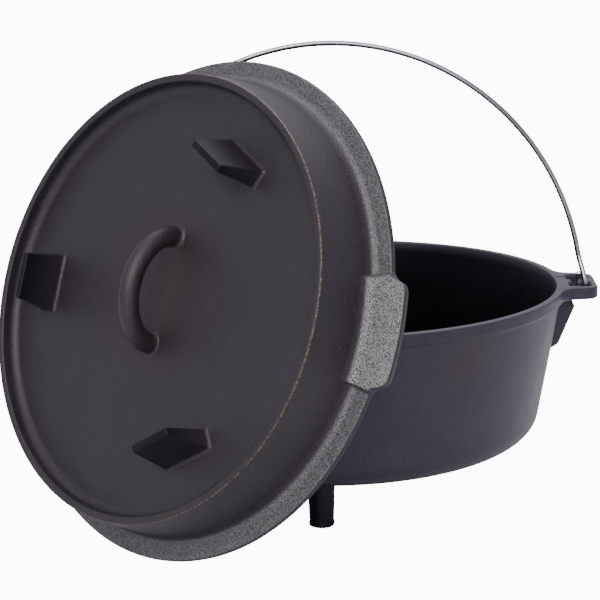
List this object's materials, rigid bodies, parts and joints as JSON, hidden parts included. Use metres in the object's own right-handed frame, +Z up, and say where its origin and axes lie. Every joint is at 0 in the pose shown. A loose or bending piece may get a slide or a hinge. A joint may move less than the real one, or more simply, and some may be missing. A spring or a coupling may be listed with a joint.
{
  "type": "camp oven with lid and bail",
  "caption": "Footed cast iron camp oven: a round tapered pot on legs, a deep flanged lid with feet and a loop handle leaning on it, and a wire bail.",
  "frame": {"origin": "on the ground under the middle of the whole group's bounding box; the pot's own axis stands at x = 0.0203, y = 0.0322", "axes": "+Z up along the pot's axis; the bail's hinge line lies 4 degrees off X; the lid leans on the pot from -X, -Y with its top side outward"},
  "size_m": [0.393, 0.3744, 0.3013],
  "materials": {
    "pot_iron": "seasoned, fine sand-cast grain, satin",
    "lid_iron": "seasoned, fine sand-cast grain, satin, coarser on the flange",
    "bail_steel": "bright drawn wire"
  },
  "bodies": {
    "pot": {"pot": "pot_iron"},
    "lid": {"lid": "lid_iron"},
    "bail": {"bail": "bail_steel"}
  },
  "joints": [
    {"name": "lid_lift_off", "type": "slide", "parent": "pot", "child": "lid", "axis": [-0.6425, -0.6821, 0.3492], "range_m": [0, 0.15]},
    {"name": "bail_hinge", "type": "hinge", "parent": "pot", "child": "bail", "pos_m": [0.02032, 0.03222, 0.139], "axis": [-0.9976, 0.0698, 0], "range_deg": [-5, 90]}
  ]
}
